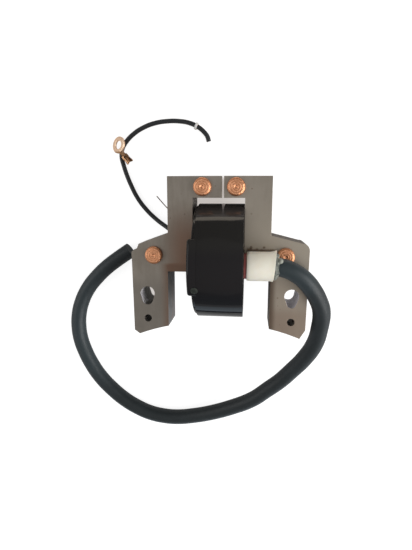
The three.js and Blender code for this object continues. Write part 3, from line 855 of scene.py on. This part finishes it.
@dataclass
class RingTerminal:
    """Stamped ring terminal: eye, neck and an open crimp barrel."""

    sheet: float = 0.7
    eye_centre: Point = (-46.8, 46.35, 3.1)
    eye_radius: float = 3.7
    eye_hole: float = 1.9
    eye_lean: float = 33.0
    eye_turn: float = -15.0
    neck_run: tuple[Point, Point] = ((-46.1, 43.9, 3.9), (-43.9, 41.2, 2.6))
    barrel_run: tuple[Point, Point] = ((-44.4, 41.9, 3.9), (-42.1, 38.9, 2.2))
    barrel_radius: float = 1.4

    def build(self) -> bpy.types.Object:
        """Makes the terminal.

        Returns:
            The terminal.
        """
        loops = [
            arc(0, 0, self.eye_radius, 0, 360 - 9, 39),
            arc(0, 0, self.eye_hole, 0, 360 - 12, 29),
        ]
        eye = plate_mesh("eye", loops, self.sheet, 0.12)
        turn = Matrix.Rotation(math.radians(self.eye_turn), 4, "Z")
        lean = Matrix.Rotation(math.radians(-self.eye_lean), 4, "Y")
        place = Matrix.Translation(self.eye_centre) @ turn @ lean

        def build(work: bmesh.types.BMesh) -> None:
            """Adds the eye, the neck and the barrel."""
            work.from_mesh(eye)
            bmesh.ops.transform(work, matrix=place, verts=work.verts)
            self.neck(work)
            self.barrel(work)

        mesh = mesh_from("eye_terminal", build, Shading.SOFT)
        return add_piece("eye_terminal", mesh, BRASS, ["ring_terminal"])

    def neck(self, work: bmesh.types.BMesh) -> None:
        """Neck that steps down from the eye over the wire to the barrel."""
        start, end = (Vector(point) for point in self.neck_run)
        across = (end - start).cross(Vector((0, 0, 1))).normalized()
        up = Vector((0.0, 0.0, self.sheet / 2))
        steps, rings = 6, []
        for step in range(steps + 1):
            swell = math.sin(math.pi * step / steps)
            half = across * (1.35 - 0.45 * swell)
            middle = start.lerp(end, step / steps) + Vector((0.0, 0.0, 0.25 * swell))
            ring = [middle - half - up, middle + half - up, middle + half + up, middle - half + up]
            rings.append([work.verts.new(p) for p in ring])
        bridge(work, rings)
        work.faces.new(rings[0][::-1])
        work.faces.new(rings[-1])

    def barrel(self, work: bmesh.types.BMesh) -> None:
        """Open barrel whose two wings curl in unevenly."""
        start, end = (Vector(point) for point in self.barrel_run)
        along = (end - start).normalized()
        across = Vector((0, 0, 1)).cross(along).normalized()
        up = along.cross(across)
        steps, rings, reach = 12, [], self.barrel_radius
        for step in range(steps + 1):
            share = step / steps
            flare = 1.0 + 0.12 * share + 0.05 * math.sin(9 * share)
            outline = [(reach * flare, a) for a in range(150, 391, 20)]
            outline += [((reach - self.sheet) * flare, a) for a in range(390, 149, -20)]
            centre = start.lerp(end, share)
            ring = []
            for radius, angle in outline:
                turn = math.radians(angle)
                ring.append(centre + across * radius * math.cos(turn) + up * radius * math.sin(turn))
            rings.append([work.verts.new(p) for p in ring])
        bridge(work, rings)
        for ring in (rings[0], rings[-1]):
            last = len(ring) - 1
            for k in range(last // 2):
                work.faces.new([ring[k], ring[k + 1], ring[last - 1 - k], ring[last - k]])


@dataclass
class GroundTail:
    """Bare strand of the ground lead, from the coil's end wall up behind the left leg."""

    radius: float = 0.22
    route: Sequence[Point] = (
        (-9.4, 5.4, 11.0), (-10.8, 6.6, 12.4), (-13.0, 9.0, 14.2), (-17.0, 13.0, 14.7),
        (-20.0, 16.0, 14.6), (-23.7, 19.6, 14.2), (-27.8, 24.0, 13.4),
    )

    def build(self) -> None:
        """Makes the strand."""
        curve = cord_curve("ground_strand", self.route, self.radius)
        add_piece("ground_strand", curve, STRAND, ["ground_lead"])


# ---------- core


@dataclass(frozen=True)
class CoreSizes:
    """Sizes that both halves of the core share."""

    front: float = 30.3
    packs: int = 4
    pack: float = 3.75
    sheets: int = 6
    yoke_top: float = 31.5
    yoke_under: float = 23.4
    leg_outer: float = 20.0
    bar_top: float = 2.15
    bar_under: float = -5.35
    foot_inner: float = 20.15
    foot_outer_low: float = 34.35
    pole_inner: Flat = (20.15, -27.8)
    pole_outer: Flat = (32.2, -31.5)
    flywheel: float = 78.0
    slot_x: float = 28.575
    slot_head: float = 2.85
    slot_head_y: float = -14.45
    tooling: tuple[float, float, float] = (28.6, -24.8, 1.5)
    rivet_hole: float = 2.4
    yoke_rivet: Flat = (6.4, 27.5)
    foot_rivet: Flat = (25.6, 1.2)


CORE = CoreSizes()


@dataclass
class CoreHalf:
    """One laminated half of the core, as bundles of thin sheets."""

    side: Side
    window: float
    bar_end: float
    slit: float
    slit_lean: float
    shoulder_y: float
    shoulder: Sequence[Flat]
    heel_y: float
    slot_foot: Flat
    rear_slot_foot: Flat

    def pole_face(self) -> list[Flat]:
        """Pole face, hollow towards the flywheel."""
        outer, inner = Vector(CORE.pole_outer), Vector(CORE.pole_inner)
        chord = inner - outer
        rise = math.sqrt(CORE.flywheel**2 - (chord.length / 2) ** 2)
        across = Vector((chord.y, -chord.x)).normalized()
        centre = (outer + inner) / 2 + across * (rise if across.y < 0 else -rise)
        points = []
        for step in range(9):
            spoke = (outer + chord * step / 8 - centre).normalized() * CORE.flywheel
            points.append(tuple(centre + spoke))
        return points

    def outline(self, depth: float, long_arm: bool) -> list[Flat]:
        """Outline of a sheet at a depth behind the front, mirrored for the left half."""
        slit = self.slit + self.slit_lean * depth
        arm = [(self.window, CORE.bar_under)]
        if long_arm:
            arm = [(-self.bar_end, CORE.bar_under), (-self.bar_end, CORE.bar_top), (self.window, CORE.bar_top)]
        points = [
            (slit, CORE.yoke_top), (CORE.leg_outer, CORE.yoke_top), (CORE.leg_outer, self.shoulder_y),
            *self.shoulder, (CORE.foot_outer_low, self.heel_y), *self.pole_face(),
            (CORE.foot_inner, CORE.bar_under), *arm, (self.window, CORE.yoke_under), (slit, CORE.yoke_under),
        ]
        return [(self.side.value * u, v) for u, v in points]

    def slot(self, pack: int) -> list[Flat]:
        """Mounting slot: the belt round its head and its foot."""
        radius, foot_y = self.slot_foot if pack < 2 else self.rear_slot_foot
        lean = math.degrees(math.asin((CORE.slot_head - radius) / (CORE.slot_head_y - foot_y)))
        head = arc(0, CORE.slot_head_y, CORE.slot_head, -lean, 180 + lean, 36)
        foot = arc(0, foot_y, radius, 180 + lean, 360 - lean, 20)
        return [(self.side.value * CORE.slot_x + u, v) for u, v in [*head, *foot]]

    def holes(self, pack: int) -> list[list[Flat]]:
        """Slot, tooling hole and rivet holes of a bundle."""
        sign = self.side.value
        rounds = [CORE.tooling, (*CORE.foot_rivet, CORE.rivet_hole), (*CORE.yoke_rivet, CORE.rivet_hole)]
        return [self.slot(pack)] + [arc(sign * x, y, r, 0, 350, 35) for x, y, r in rounds]

    def build(self) -> None:
        """Makes the four bundles of this half."""
        label = self.side.name.lower()
        chance = random.Random(7 + self.side.value)
        thickness = CORE.pack / CORE.sheets
        for pack in range(CORE.packs):
            long_arm = (pack % 2 == 0) == (self.side is Side.LEFT)
            top = CORE.front - pack * CORE.pack

            def build(work: bmesh.types.BMesh) -> None:
                """Stacks the sheets with a little scatter at their edges."""
                for index in range(CORE.sheets):
                    depth = pack * CORE.pack + (index + 0.5) * thickness
                    loops = [self.outline(depth, long_arm), *self.holes(pack)]
                    sheet = plate_mesh("sheet", loops, thickness - 0.02, 0.05)
                    first = len(work.verts)
                    work.from_mesh(sheet)
                    bpy.data.meshes.remove(sheet)
                    work.verts.ensure_lookup_table()
                    shift = Vector((chance.uniform(-0.04, 0.04), chance.uniform(-0.04, 0.04), 0.0))
                    if pack == 0 and index == 0:
                        shift = Vector((0.0, 0.0, 0.0))
                    shift.z = top - (index + 0.5) * thickness
                    bmesh.ops.translate(work, vec=shift, verts=work.verts[first:])

            name = f"{label}_sheets_{pack + 1}"
            mesh = mesh_from(name, build, Shading.CRISP)
            add_piece(name, mesh, STEEL, [f"{label}_core_pack_{pack + 1}"])


@dataclass
class Rivet:
    """Copper rivet with a dished, ring-marked head on both faces of the core."""

    name: str
    place: Flat
    shank: float = 2.3
    back: float = 15.3

    def build(self) -> None:
        """Makes the rivet."""
        head = [
            (self.shank, 0.0), (3.4, 0.0), (3.5, 0.1), (3.52, 0.35), (3.46, 0.8), (3.38, 1.2), (3.24, 1.48),
            (3.05, 1.66), (2.85, 1.75), (2.6, 1.8), (2.4, 1.81), (2.2, 1.8), (1.95, 1.83), (1.6, 1.86),
            (1.3, 1.84), (1.05, 1.85), (0.8, 1.84), (0.58, 1.76), (0.35, 1.6), (0.0, 1.55),
        ]
        front = [(r, CORE.front + h) for r, h in head]
        rear = [(r, self.back - h) for r, h in reversed(head)]
        place = Matrix.Translation((*self.place, 0.0))
        build = partial(turned, profile=[*rear, *front], segments=64, place=place)
        finish = SpunCopper(f"{self.name}_copper", "rivet_copper", self.place)
        add_piece(f"{self.name}_spun", mesh_from(self.name, build, Shading.SOFT), finish, [self.name])


# ---------- coil and tower


@dataclass
class Coil:
    """Black moulded coil with its boss, and the hidden pieces inside."""

    radius: float = 22.8
    axis_y: float = -1.6
    axis_z: float = 22.8
    left: float = -9.3
    step: float = -8.25
    step_radius: float = 21.9
    right: float = 9.7
    wall: float = 1.6
    end_wall: float = 1.8
    opening: float = 11.4
    boss_ends: Flat = (-10.75, -7.2)
    boss_reach: Flat = (17.5, 22.9)
    boss_half_angle: float = 28.5
    boss_rounding: float = 1.15

    def case(self) -> None:
        """Cup with a rounded left rim and a thin lip on the right."""
        rim = [(r, x) for x, r in arc(self.left + 0.5, self.step_radius - 0.5, 0.5, 180, 92, 5)]
        lip, inner, inside = self.right, self.radius - self.wall, self.left + self.end_wall
        profile = [
            (self.opening, self.left + 0.3), (self.opening + 0.3, self.left), *rim,
            (self.step_radius, self.step - 0.15), (self.step_radius + 0.12, self.step),
            (self.radius - 0.25, self.step), (self.radius - 0.06, self.step + 0.08),
            (self.radius, self.step + 0.3), (self.radius, lip - 0.25), (self.radius - 0.06, lip - 0.06),
            (self.radius - 0.2, lip), (inner + 0.15, lip), (inner, lip - 0.2), (inner, inside),
            (self.opening, inside),
        ]
        place = axis_along_x(self.axis_y, self.axis_z)
        build = partial(turned, profile=profile, segments=160, place=place, closed=True)
        add_piece("coil_case", mesh_from("coil_case", build, Shading.SOFT), MOULDING, ["coil_cup"])

    def boss(self) -> None:
        """Raised block on the left end, with its free edges rounded."""
        low, high = self.boss_reach
        start, end = 90 - self.boss_half_angle, 90 + self.boss_half_angle
        outline = arc(0, 0, high, start, end, 24) + arc(0, 0, low, end, start, 18)

        def build(work: bmesh.types.BMesh) -> None:
            """Adds the block."""
            rings = []
            for x in self.boss_ends:
                rings.append([work.verts.new((x, y + self.axis_y, z + self.axis_z)) for y, z in outline])
            bridge(work, rings)
            for ring in rings:
                work.faces.new(ring)
            bmesh.ops.recalc_face_normals(work, faces=work.faces)
            outside = self.boss_ends[0] + self.boss_rounding / 2
            free = [e for e in work.edges if min(v.co.x for v in e.verts) < outside]
            sharp = [e for e in free if e.calc_face_angle() > 0.5]
            bmesh.ops.bevel(
                work, geom=sharp, offset=self.boss_rounding, segments=5, affect="EDGES", profile=0.5
            )

        add_piece("wire_boss", mesh_from("wire_boss", build, Shading.SOFT), MOULDING, ["coil_cup"])

    def inside(self) -> None:
        """Finishes the hidden pieces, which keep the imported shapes."""
        finishes = {
            "primary_spool": SPOOL, "secondary_spool": SPOOL, "primary_winding": PRIMARY_TURNS,
            "secondary_winding": SECONDARY_TURNS, "winding_wrap": PAPER, "potting_resin": RESIN,
            "boss_filler": FILLER, "coil_wedge": STEEL, "contact_pin": BRASS, "tower_seal_ring": RED_SEAL,
            "wire_grommet": LEAD,
        }
        for node, finish in finishes.items():
            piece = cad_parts[node]
            for place in piece.material_slots:
                place.material = finish.material()
            LOG.info("finish %s on %s", finish.name, node)

    def build(self) -> None:
        """Makes the coil."""
        self.case()
        self.boss()
        self.inside()


@dataclass
class Tower:
    """Cream tower tube that grips the lead, and the sealant at its mouth."""

    axis_y: float = -1.6
    axis_z: float = 36.5
    start: float = 10.9
    end: float = 21.1
    radius: float = 5.5
    bore: float = 3.8
    floor: float = 12.6

    def tube(self) -> None:
        """Tube with a flared mouth."""
        profile = [
            (1.1, self.start), (5.1, self.start), (5.3, self.start + 0.1), (5.42, self.start + 0.4),
            (self.radius, 12.5), (self.radius, 19.6), (self.radius + 0.06, 20.3), (self.radius + 0.2, 20.85),
            (self.radius + 0.2, 21.0), (self.radius + 0.05, self.end), (self.bore + 0.3, self.end),
            (self.bore + 0.05, self.end - 0.2), (self.bore, self.end - 0.5), (self.bore, self.floor),
            (1.1, self.floor),
        ]

        def build(work: bmesh.types.BMesh) -> None:
            """Adds the turned tube, its mouth a little skewed and with a pulled corner."""
            turned(work, profile, 96, axis_along_x(self.axis_y, self.axis_z), closed=True)
            for vertex in work.verts:
                lift = vertex.co.y - self.axis_y
                if vertex.co.x > 20.0:
                    vertex.co.x += 0.09 * lift
                if vertex.co.x > 20.6 and lift > 4.9 and vertex.co.z > self.axis_z - 1.0:
                    vertex.co += Vector((0.35, 0.4, 0.0)) * (lift - 4.9)

        add_piece("tower_barrel", mesh_from("tower_barrel", build, Shading.SOFT), CREAM, ["tower_tube"])

    def sealant(self) -> None:
        """Collar of sealant with a few lumps, smoothed into one body."""
        place = axis_along_x(self.axis_y, self.axis_z)
        collar = [(3.3, 20.6), (5.1, 20.9), (5.3, 21.2), (5.05, 21.7), (4.6, 22.1), (4.1, 22.5), (3.3, 22.7)]
        lumps = [
            ((23.0, 1.0, 39.7), 1.15), ((22.1, -3.4, 40.2), 0.8),
            ((22.0, 2.6, 37.6), 0.9), ((22.0, -5.4, 36.6), 0.8),
        ]

        def build(work: bmesh.types.BMesh) -> None:
            """Adds the collar and the lumps."""
            turned(work, collar, 64, place, closed=True)
            for centre, radius in lumps:
                where = Matrix.Translation(centre)
                bmesh.ops.create_icosphere(work, subdivisions=3, radius=radius, matrix=where)

        mesh = mesh_from("mouth_sealant", build, Shading.SMOOTH)
        piece = add_piece("mouth_sealant", mesh, SEALANT, ["lead_sealant"])
        apply_modifier(piece, "REMESH", {"mode": "VOXEL", "voxel_size": 0.00022, "use_smooth_shade": True})
        apply_modifier(piece, "SMOOTH", {"factor": 0.6, "iterations": 6})

    def build(self) -> None:
        """Makes the tower."""
        self.tube()
        self.sealant()


def apply_modifier(piece: bpy.types.Object, kind: str, settings: dict[str, Any]) -> None:
    """Runs one modifier on a piece and keeps its result.

    Args:
        piece: The piece.
        kind: Type of modifier.
        settings: Its settings.
    """
    modifier = piece.modifiers.new(kind.lower(), kind)
    for key, setting in settings.items():
        setattr(modifier, key, setting)
    graph = bpy.context.evaluated_depsgraph_get()
    mesh = bpy.data.meshes.new_from_object(piece.evaluated_get(graph))
    piece.modifiers.clear()
    old = piece.data
    piece.data = mesh
    bpy.data.meshes.remove(old)


# ---------- studio


@dataclass(frozen=True)
class Softbox:
    """One soft rectangular light."""

    name: str
    place: Point
    target: Point
    size: Flat
    power: float
    colour: Colour = (1.0, 1.0, 1.0)

    def build(self) -> None:
        """Puts the light in the scene."""
        lamp = bpy.data.lights.new(self.name, "AREA")
        lamp.shape = "RECTANGLE"
        lamp.size, lamp.size_y = self.size
        lamp.energy = self.power
        lamp.color = self.colour
        holder = bpy.data.objects.new(self.name, lamp)
        holder.location = self.place
        heading = Vector(self.target) - Vector(self.place)
        holder.rotation_euler = heading.to_track_quat("-Z", "Y").to_euler()
        bpy.context.scene.collection.objects.link(holder)


@dataclass
class Studio:
    """Camera, bench, light tent and soft lights."""

    camera_place: Point = (11.429, 23.664, 188.769)
    camera_right: Point = (0.99467, 0.00146, -0.10314)
    camera_up: Point = (-0.02059, 0.98258, -0.18471)
    camera_back: Point = (0.10107, 0.18585, 0.97737)
    bench_half: float = 1.5
    lights: Sequence[Softbox] = (
        Softbox("overhead", (-0.08, -0.1, 0.95), (0.0, 0.0, 0.0), (2.2, 2.2), 2.0),
        Softbox("window_side", (0.75, -0.22, 0.5), (0.0, -0.02, 0.02), (0.9, 0.6), 6.5),
        Softbox("far_side", (-0.8, 0.1, 0.6), (0.0, -0.02, 0.02), (0.9, 0.6), 2.5),
    )

    def camera(self) -> None:
        """Camera that looks down on the coil."""
        data = bpy.data.cameras.new("camera")
        data.sensor_fit = "HORIZONTAL"
        data.sensor_width = 36.0
        data.lens = 36.0
        data.clip_start = 0.01
        holder = bpy.data.objects.new("camera", data)
        axes = Matrix((self.camera_right, self.camera_up, self.camera_back)).transposed()
        holder.matrix_world = Matrix.Translation(Vector(self.camera_place) * MM) @ axes.to_4x4()
        bpy.context.scene.collection.objects.link(holder)
        bpy.context.scene.camera = holder

    def bench(self) -> None:
        """White bench top under the coil."""
        half = self.bench_half
        mesh = bpy.data.meshes.new("bench")
        corners = [(-half, -half, 0.0), (half, -half, 0.0), (half, half, 0.0), (-half, half, 0.0)]
        mesh.from_pydata(corners, [], [(0, 1, 2, 3)])
        mesh.materials.append(BENCH.material())
        top = bpy.data.objects.new("bench", mesh)
        bpy.context.scene.collection.objects.link(top)

    def tent(self) -> None:
        """Light tent: bright near the horizon and dimmer overhead."""
        world = bpy.data.worlds.new("tent")
        bpy.context.scene.world = world
        world.use_nodes = True
        graph = Graph(world.node_tree)
        direction = graph.node("ShaderNodeTexCoord", output="Generated")
        x, y, z = graph.parts(direction)
        room = 0.22 + z.step(0.6, 1.0) * 0.08
        window = (x * 0.93 - y * 0.30 + z * 0.22).step(0.72, 0.98) * 0.8
        rim = z.step(0.08, 0.06) * abs(y).step(0.85, 0.6) * 0.9
        strength = room + window + rim
        inputs = {"Strength": strength, "Color": (1.0, 0.99, 0.975, 1.0)}
        glow = graph.node("ShaderNodeBackground", None, inputs)
        graph.node_output("ShaderNodeOutputWorld", glow)

    def build(self) -> None:
        """Makes the studio."""
        self.camera()
        self.bench()
        self.tent()
        for light in self.lights:
            light.build()
        scene = bpy.context.scene
        scene.view_settings.view_transform = "Standard"
        scene.view_settings.look = "None"
        LOG.info("studio ready")


def main() -> None:
    """Builds the scene in order: camera and cords, then the core, the coil and the tower."""
    logging.basicConfig(level=logging.INFO, format="%(name)s: %(message)s")
    Studio().build()
    PlugLead().build()
    StopWire().build()
    GroundTail().build()
    CoreHalf(
        Side.LEFT, window=10.2, bar_end=9.8, slit=-1.1, slit_lean=0.067, shoulder_y=9.8,
        shoulder=[(31.8, 5.5), (32.65, 3.4), (33.9, 3.1), (34.7, 2.1)], heel_y=-29.9,
        slot_foot=(2.15, -16.95), rear_slot_foot=(2.15, -16.95),
    ).build()
    CoreHalf(
        Side.RIGHT, window=9.85, bar_end=10.1, slit=1.8, slit_lean=0.0, shoulder_y=9.35,
        shoulder=[(32.0, 6.35), *arc(31.7, 3.5, 3.0, 75, 0, 8)], heel_y=-27.9,
        slot_foot=(1.75, -17.35), rear_slot_foot=(2.4, -16.7),
    ).build()
    for side in Side:
        label = side.name.lower()
        Rivet(f"yoke_rivet_{label}", (side.value * CORE.yoke_rivet[0], CORE.yoke_rivet[1])).build()
        Rivet(f"foot_rivet_{label}", (side.value * CORE.foot_rivet[0], CORE.foot_rivet[1])).build()
    Coil().build()
    Tower().build()


if __name__ == "__main__":
    main()
